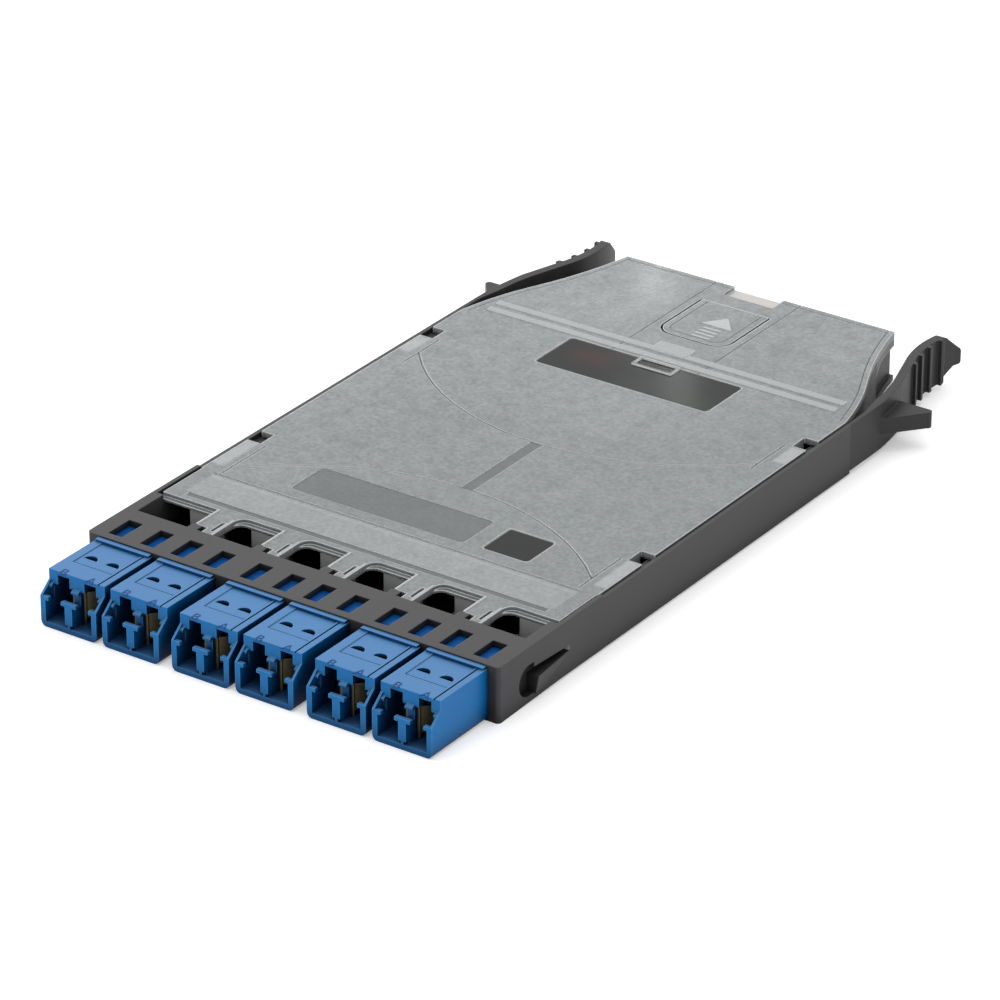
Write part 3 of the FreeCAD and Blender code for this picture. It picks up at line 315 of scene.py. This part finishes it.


# Moulded plastic or metal with a painted highlight along its edges
def makeMoulded(name, s):
    material, tree, shader, place = newMaterial(name)
    made = useGroup(
        tree, mouldGroup, Place=place, Colour=(*s["colour"], 1), Shade=s["shade"],
        Specks=s["specks"], Gloss=s["roughness"], GlossSpread=s["roughSpread"])
    edge = useGroup(tree, edgeGroup, Radius=s["edge"])
    # painted highlight: the edges are made lighter, as where they catch the light
    edgeHighlight = times(tree, edge["Mask"], s["edgeShare"])
    colour = mixColour(tree, edgeHighlight, made["Colour"], s["edgeColour"])
    up, forward = facing(tree)
    x, y, z = axes(tree, place)
    # painted sheen: up-facing faces made paler, as where they catch the light from above
    if "topSheenShare" in s:
        topSheen = times(tree, remap(tree, up, *facingLimits["litTop"]), s["topSheenShare"])
        colour = mixColour(tree, topSheen, colour, s["topSheenColour"])
    # painted shade: darker deep in ports, slots and grooves
    if "recessShadeColour" in s:
        deep = useGroup(tree, deepGroup, Reach=s["deepReach"])["Mask"]
        colour = mixColour(tree, deep, colour, s["recessShadeColour"])
    # painted shadow: the part behind the deck's front, under the deck, is darker
    if "deckShadowColour" in s:
        underDeck = remap(tree, y, deckFront, deckFront + mm)
        colour = mixColour(tree, underDeck, colour, s["deckShadowColour"])
    # painted light on the comb's front face under the windows
    if "litWallColour" in s:
        near, far = (deckFront + behind for behind in s["wallBehind"])
        wall = remap(tree, forward, *facingLimits["frontWall"])
        wall = times(tree, wall, remap(tree, y, near, near + mm))
        wall = times(tree, wall, remap(tree, y, far, far - mm))
        colour = mixColour(tree, wall, colour, s["litWallColour"])
    wire(tree, colour, shader.inputs["Base Color"])
    wire(tree, made["Roughness"], shader.inputs["Roughness"])
    shader.inputs["Metallic"].default_value = s.get("metallic", 0.0)
    shader.inputs["Specular IOR Level"].default_value = s.get("specular", 0.5)
    finishNormal(tree, shader, made["Height"], edge["Normal"], s["grain"])
    return material


basePlastic = {
    "colour": (0.048, 0.048, 0.05), "roughness": 0.42, "roughSpread": 0.12,
    "shade": 0.25, "specks": 0.3, "grain": 0.000006, "edge": 0.0003,
    "edgeColour": (0.12, 0.12, 0.125), "edgeShare": 0.7, "specular": 0.25,
    "recessShadeColour": (0.012, 0.012, 0.013), "deepReach": 0.005,
    # painted light: pale face of the comb under the windows, lit through the cover, between two
    # distances behind the deck's front
    "litWallColour": (0.4, 0.4, 0.4), "wallBehind": (0.0155, 0.0255),
}
armPlastic = {
    "colour": (0.03, 0.03, 0.031), "roughness": 0.42, "roughSpread": 0.12,
    "shade": 0.25, "specks": 0.3, "grain": 0.000006, "edge": 0.0003,
    "edgeColour": (0.07, 0.07, 0.072), "edgeShare": 0.6, "specular": 0.25,
}
adapterPlastic = {
    "colour": (0.004, 0.145, 0.4), "roughness": 0.3, "roughSpread": 0.08,
    "shade": 0.12, "specks": 0.08, "grain": 0.000003, "edge": 0.0003,
    "edgeColour": (0.12, 0.4, 0.72), "edgeShare": 0.8, "specular": 0.18,
    "recessShadeColour": (0.002, 0.014, 0.05), "deepReach": 0.006,
    # painted sheen on the up-facing faces
    "topSheenColour": (0.34, 0.38, 0.4), "topSheenShare": 0.17,
    # painted shadow of the deck
    "deckShadowColour": (0.001, 0.065, 0.25),        # darker where the deck covers it
}
leafSteel = {
    "colour": (0.15, 0.125, 0.075), "roughness": 0.42, "roughSpread": 0.2,
    "shade": 0.5, "specks": 0.4, "grain": 0.000004, "edge": 0.00006,
    "edgeColour": (0.3, 0.25, 0.16), "edgeShare": 0.5, "metallic": 1.0,
}
sleeveCeramic = {
    "colour": (0.82, 0.82, 0.8), "roughness": 0.15, "roughSpread": 0.04,
    "shade": 0.05, "specks": 0.03, "grain": 0.000001, "edge": 0.00008,
    "edgeColour": (0.9, 0.9, 0.88), "edgeShare": 0.3,
}
plugPlastic = {
    "colour": (0.01, 0.01, 0.012), "roughness": 0.4, "roughSpread": 0.1,
    "shade": 0.2, "specks": 0.2, "grain": 0.000004, "edge": 0.00015,
    "edgeColour": (0.05, 0.05, 0.05), "edgeShare": 0.5,
}
trunkJacket = {
    "colour": (0.02, 0.2, 0.24), "roughness": 0.5, "roughSpread": 0.1,
    "shade": 0.2, "specks": 0.1, "grain": 0.000005, "edge": 0.0001,
    "edgeColour": (0.05, 0.3, 0.34), "edgeShare": 0.3,
}
coverPlastic = {
    "colour": (0.21, 0.225, 0.225), "roughness": 0.36, "roughSpread": 0.14,
    "shade": 0.3, "specks": 0.8, "grain": 0.000005, "edge": 0.0006,
    "recessShadeColour": (0.03, 0.034, 0.034), "deepReach": 0.0007,
    "edgeColour": (0.8, 0.82, 0.82), "edgeShare": 1.0,
    "specular": 0.15, "coatWeight": 0.11, "coatRoughness": 0.1,
    # painted light: the rear and left are paler, as under the soft light behind and to the left
    "rearLightColour": (0.27, 0.285, 0.287), "rearFade": (0.03, 0.2),
    "blotchColour": (0.16, 0.178, 0.178), "blotchShare": 0.5, "blotchScale": 260.0,
    "blotchLimits": (0.42, 0.7),
    # painted shade in the grooves and painted highlight on raised parts: depth under the plate, or
    # height over it, where each starts and where it is full
    "grooveDepth": (0.00004, 0.00012), "grooveShadeColour": (0.08, 0.09, 0.09), "grooveShare": 0.6,
    "raisedHeight": (0.00003, 0.0001), "raisedHighlightColour": (0.4, 0.415, 0.415), "raisedShare": 0.6,
    # painted shade: the clear windows show the dark, shaded inside
    "windowShadeColour": (0.004, 0.005, 0.005), "windowRoughness": 0.09,
    # painted highlight along the windows' rims
    "windowRim": 0.0003, "windowRimShare": 0.3,
    # faint tints of the coloured fibres, painted into the shaded inside seen through the rear
    # window: centre x, behind, colour
    "fibreTints": [
        (-0.011, 0.1145, (0.045, 0.006, 0.006)), (0.0155, 0.1085, (0.01, 0.03, 0.01)),
        (0.002, 0.1085, (0.02, 0.022, 0.022)),
    ],
    "fibreTintHalf": (0.003, 0.001), "fibreTintCorner": 0.001, "fibreTintSoft": 0.005,
    # centre x, distance behind the deck's front, half width, half length, corner, in metres
    "windows": [
        (0.0005, 0.1130, 0.0200, 0.0066, 0.001), (0.0221, 0.0407, 0.0051, 0.0047, 0.0008),
    ],
    # paler strips along the edge in front of each side notch
    "strips": [
        (side * 0.0432, behind, 0.00135, half, 0.0003)
        for side in (-1, 1) for behind, half in ((0.0413, 0.0056), (0.0995, 0.0035))
    ],
    "stripShare": 0.2, "stripSoft": 0.0005,
    # painted shade: dark line at the step behind the lip; painted highlight: the paler band in
    # front of it
    "stepLine": (0.0, 0.0323, 0.0412, 0.00025, 0.0001), "stepLineShare": 0.6,
    "stepBand": (0.0, 0.0314, 0.0412, 0.0005, 0.0002), "stepBandShare": 0.12,
    # slightly paler strip between the lip's line and the step
    "frontBand": (0.0, 0.0275, 0.0412, 0.0036, 0.0003), "frontBandShare": 0.09,
    "lineSoft": 0.00015,
    # pale floor of the notch over the rear port, and the dark clear skirt beside the neck
    "notch": (0.0, 0.1555, 0.0060, 0.0023, 0.0003), "notchColour": (0.5, 0.48, 0.46),
    "notchDepth": (0.0004, 0.0006),
    "skirtBehind": 0.119, "skirtColour": (0.1, 0.105, 0.105), "skirtDepth": (0.0013, 0.0016),
}
arrowPlastic = {
    "colour": (0.4, 0.42, 0.42), "roughness": 0.35, "roughSpread": 0.14,
    "shade": 0.3, "specks": 0.4, "grain": 0.000004, "edge": 0.0001,
    "edgeColour": (0.55, 0.57, 0.57), "edgeShare": 0.5,
}
fibreColours = [
    (0.03, 0.12, 0.55), (0.8, 0.25, 0.02), (0.03, 0.4, 0.08), (0.2, 0.08, 0.03),
    (0.3, 0.32, 0.34), (0.85, 0.85, 0.85), (0.6, 0.02, 0.02), (0.02, 0.02, 0.02),
    (0.85, 0.7, 0.03), (0.25, 0.05, 0.4), (0.85, 0.35, 0.45), (0.1, 0.6, 0.65),
]


# Frosted cover: clear windows painted with the shaded inside, painted shade in the grooves, and a
# painted highlight on raised parts and edges
def makeCoverMaterial(name, s):
    material, tree, shader, place = newMaterial(name)
    made = useGroup(
        tree, mouldGroup, Place=place, Colour=(1, 1, 1, 1), Shade=s["shade"], Specks=s["specks"],
        Gloss=s["roughness"], GlossSpread=s["roughSpread"])
    x, y, z = axes(tree, place)
    flat = remap(tree, facing(tree)[0], *facingLimits["flatTop"])

    # share of a shade that starts at one depth under the plate and is full at another
    def under(limits):
        start, full = limits
        return remap(tree, z, coverPlate - start, coverPlate - full)

    # painted light, paler towards the rear and left
    start, full = s["rearFade"]
    toRear = remap(tree, mathNode(tree, "SUBTRACT", y, x), deckFront + start, deckFront + full)
    colour = mixColour(tree, toRear, s["colour"], s["rearLightColour"])
    blotch = noiseNode(tree, place, s["blotchScale"], detail=3.0, roughness=0.6)
    blotch = remap(tree, blotch, *s["blotchLimits"], 0.0, s["blotchShare"])
    colour = mixColour(tree, blotch, colour, s["blotchColour"])
    colour = mixColour(tree, 1.0, colour, made["Colour"], "MULTIPLY")
    # painted shade in the grooves
    groove = times(tree, times(tree, under(s["grooveDepth"]), flat), s["grooveShare"])
    colour = mixColour(tree, groove, colour, s["grooveShadeColour"])
    # painted highlight on raised parts
    start, full = s["raisedHeight"]
    raised = times(tree, remap(tree, z, coverPlate + start, coverPlate + full), s["raisedShare"])
    colour = mixColour(tree, raised, colour, s["raisedHighlightColour"])

    window = 0.0
    rim = 0.0
    for spot in s["windows"]:
        patch = patchAt(tree, place, spot)
        window = mathNode(tree, "ADD", window, patch["Mask"], clamp=True)
        away = mathNode(tree, "ABSOLUTE", patch["Distance"])
        near = remap(tree, away, 0.0, s["windowRim"], s["windowRimShare"], 0.0)
        rim = mathNode(tree, "ADD", rim, near, clamp=True)
    window = times(tree, window, flat)
    # painted shade of the inside seen through the windows, with faint tints of the fibres
    inside = s["windowShadeColour"]
    for centreX, behind, glow in s["fibreTints"]:
        spot = (centreX, behind, *s["fibreTintHalf"], s["fibreTintCorner"])
        patch = patchAt(tree, place, spot, Soft=s["fibreTintSoft"])
        inside = mixColour(tree, patch["Mask"], inside, glow)

    notch = times(tree, patchAt(tree, place, s["notch"])["Mask"], under(s["notchDepth"]))
    colour = mixColour(tree, notch, colour, s["notchColour"])
    skirtFront = deckFront + s["skirtBehind"]
    skirt = times(tree, remap(tree, y, skirtFront, skirtFront + mm), under(s["skirtDepth"]))
    skirt = times(tree, skirt, mathNode(tree, "SUBTRACT", 1.0, flat))
    colour = mixColour(tree, skirt, colour, s["skirtColour"])
    colour = mixColour(tree, window, colour, inside)
    # painted highlight along the windows' rims
    colour = mixColour(tree, times(tree, rim, flat), colour, s["edgeColour"])

    # paler strips and bands; the step's paler band is a painted highlight and its dark line is
    # painted shade
    marks = [(strip, s["stripSoft"], s["stripShare"], s["edgeColour"]) for strip in s["strips"]]
    marks.append((s["stepBand"], s["lineSoft"], s["stepBandShare"], s["edgeColour"]))
    marks.append((s["frontBand"], s["lineSoft"], s["frontBandShare"], s["edgeColour"]))
    marks.append((s["stepLine"], s["lineSoft"], s["stepLineShare"], s["grooveShadeColour"]))
    for mark, soft, share, markColour in marks:
        patch = patchAt(tree, place, mark, Soft=soft)
        shown = times(tree, times(tree, patch["Mask"], flat), share)
        colour = mixColour(tree, shown, colour, markColour)

    # painted shade in narrow grooves and gaps and along the foot of steps
    deep = useGroup(tree, deepGroup, Reach=s["deepReach"])["Mask"]
    colour = mixColour(tree, deep, colour, s["recessShadeColour"])
    # painted highlight on the edges, as where the clear plastic catches the light
    edge = useGroup(tree, edgeGroup, Radius=s["edge"])
    bright = times(tree, edge["Mask"], s["edgeShare"])
    wire(tree, mixColour(tree, bright, colour, s["edgeColour"]), shader.inputs["Base Color"])
    roughness = remap(tree, window, 0.0, 1.0, made["Roughness"], s["windowRoughness"])
    wire(tree, roughness, shader.inputs["Roughness"])
    shader.inputs["Coat Weight"].default_value = s["coatWeight"]
    shader.inputs["Coat Roughness"].default_value = s["coatRoughness"]
    shader.inputs["Specular IOR Level"].default_value = s["specular"]
    finishNormal(tree, shader, made["Height"], edge["Normal"], s["grain"])
    return material


def assign(material, *names):
    for name in names:
        mesh = nodes[name].data
        mesh.materials.clear()
        mesh.materials.append(material)


def numbered(stem, count):
    return [f"{stem}_{k}" for k in range(1, count + 1)]


assign(makeMoulded("basePlastic", basePlastic), "base_tray")
assign(makeMoulded("armPlastic", armPlastic), "release_arm_right", "release_arm_left")
assign(makeCoverMaterial("coverPlastic", coverPlastic), "cover", "cover_latch_tab")
adapterMaterial = makeMoulded("adapterPlastic", adapterPlastic)
assign(adapterMaterial, *numbered("adapter", 6))
assign(makeMoulded("leafSteel", leafSteel), *numbered("shutter", 12))
assign(makeMoulded("sleeveCeramic", sleeveCeramic), *numbered("sleeve", 12))
assign(
    makeMoulded("plugPlastic", plugPlastic),
    "rear_adapter", "rear_plug", "fan_out_block", *numbered("duplex_plug", 6))
assign(makeMoulded("trunkJacket", trunkJacket), "trunk_cable")
for k, colour in enumerate(fibreColours, start=1):
    buffer = dict(trunkJacket, colour=colour, edgeColour=colour, roughness=0.3)
    assign(makeMoulded(f"fibreBuffer{k}", buffer), f"fibre_leg_{k}")
print("materials assigned")

# Plain port letters, raised on top of each adapter
letterSettings = {
    "size": 0.0031, "raise": 0.00005, "behindNose": 0.0021,
    "panelHeight": 0.0105,                      # top panel of an adapter
    "letters": [("B", -0.0032), ("A", 0.0030)],     # letter, distance from the adapter's middle
}


def makeLetters(s, material):
    for k in range(1, 7):
        low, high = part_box(f"adapter_{k}")
        for letter, across in s["letters"]:
            data = bpy.data.curves.new(f"portLetter{letter}{k}", "FONT")
            data.body = letter
            data.size = s["size"]
            data.extrude = s["raise"]
            data.align_x = "CENTER"
            data.materials.append(material)
            piece = bpy.data.objects.new(f"portLetter{letter}{k}", data)
            middle = (low[0] + high[0]) / 2
            piece.location = (middle + across, low[1] + s["behindNose"], s["panelHeight"])
            bpy.context.collection.objects.link(piece)
            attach(piece, "housing")


makeLetters(letterSettings, adapterMaterial)
print("port letters made")

# Raised arrow of thin bars and a head on the latch tab, which points the way the cover slides
arrowSettings = {
    "centre": 0.0014, "tailBehind": 0.1336,
    "bars": 4, "barLength": 0.0042, "barWidth": 0.0006, "pitch": 0.0014,
    "headWidth": 0.0073, "headBehind": 0.1395, "headLength": 0.0046,
    "raise": 0.00006, "sink": 0.00002,          # over and under the cover's plate
}


def makeArrow(s, material):
    outlines = []
    for k in range(s["bars"]):
        y = deckFront + s["tailBehind"] + k * s["pitch"]
        half = s["barLength"] / 2
        back = y + s["barWidth"]
        outlines.append([(-half, y), (half, y), (half, back), (-half, back)])
    base = deckFront + s["headBehind"]
    half = s["headWidth"] / 2
    outlines.append([(-half, base), (half, base), (0.0, base + s["headLength"])])
    foot = coverPlate - s["sink"]
    shape = bmesh.new()
    for outline in outlines:
        corners = [shape.verts.new((s["centre"] + x, y, foot)) for x, y in outline]
        face = shape.faces.new(corners)
        risen = bmesh.ops.extrude_face_region(shape, geom=[face])["geom"]
        lifted = [v for v in risen if isinstance(v, bmesh.types.BMVert)]
        bmesh.ops.translate(shape, verts=lifted, vec=(0, 0, s["raise"] + s["sink"]))
    bmesh.ops.recalc_face_normals(shape, faces=shape.faces)
    mesh = bpy.data.meshes.new("tabArrow")
    shape.to_mesh(mesh)
    shape.free()
    mesh.materials.append(material)
    arrow = bpy.data.objects.new("tabArrow", mesh)
    bpy.context.collection.objects.link(arrow)
    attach(arrow, "latch_tab")


makeArrow(arrowSettings, makeMoulded("arrowPlastic", arrowPlastic))
print("tab arrow made")


# Pale floor with a little light of its own to the camera, so that it shows white around the shadow
def makeFloor(s):
    mesh = bpy.data.meshes.new("studioFloor")
    shape = bmesh.new()
    bmesh.ops.create_grid(shape, x_segments=1, y_segments=1, size=s["floorReach"])
    shape.to_mesh(mesh)
    shape.free()
    floor = bpy.data.objects.new("studioFloor", mesh)
    bpy.context.collection.objects.link(floor)
    material, tree, shader, _ = newMaterial("studioFloor")
    shader.inputs["Base Color"].default_value = (*s["floorColour"], 1)
    shader.inputs["Roughness"].default_value = s["floorRoughness"]
    shader.inputs["Specular IOR Level"].default_value = 0.0
    path = tree.nodes.new("ShaderNodeLightPath")
    shader.inputs["Emission Color"].default_value = (1, 1, 1, 1)
    glow = times(tree, path.outputs["Is Camera Ray"], s["floorLift"])
    wire(tree, glow, shader.inputs["Emission Strength"])
    mesh.materials.append(material)


# White world, a little dimmer where it only lights
def makeWorld(s):
    world = bpy.data.worlds.new("studioWorld")
    bpy.context.scene.world = world
    world.use_nodes = True
    tree = world.node_tree
    background = tree.nodes["Background"]
    background.inputs["Color"].default_value = (1, 1, 1, 1)
    path = tree.nodes.new("ShaderNodeLightPath")
    seen = path.outputs["Is Camera Ray"]
    for kind in ("Is Glossy Ray", "Is Transmission Ray"):
        seen = mathNode(tree, "MAXIMUM", seen, path.outputs[kind])
    wire(tree, remap(tree, seen, 0.0, 1.0, s["worldFill"], 1.0), background.inputs["Strength"])


# Small lamps whose soft reflection lies on the cover, where the light leaves it towards the camera
def makeGlints(s):
    eye = bpy.context.scene.camera.location
    for k, (x, behind, power) in enumerate(s["glints"]):
        spot = Vector((x, deckFront + behind, coverTop))
        ray = (spot - eye).normalized()
        place = spot + Vector((ray.x, ray.y, -ray.z)) * s["glintDistance"]
        makeAreaLight(f"glint{k}", place, s["glintSize"], power, aim=spot)


makeCamera(viewSettings)
makeFloor(lightSettings)
makeWorld(lightSettings)
for name in ("overhead", "sideBox"):
    lamp = lightSettings[name]
    makeAreaLight(name, lamp["place"], lamp["size"], lamp["power"])
makeGlints(lightSettings)
bpy.context.scene.view_settings.view_transform = "Standard"
print("camera, floor and lights made")
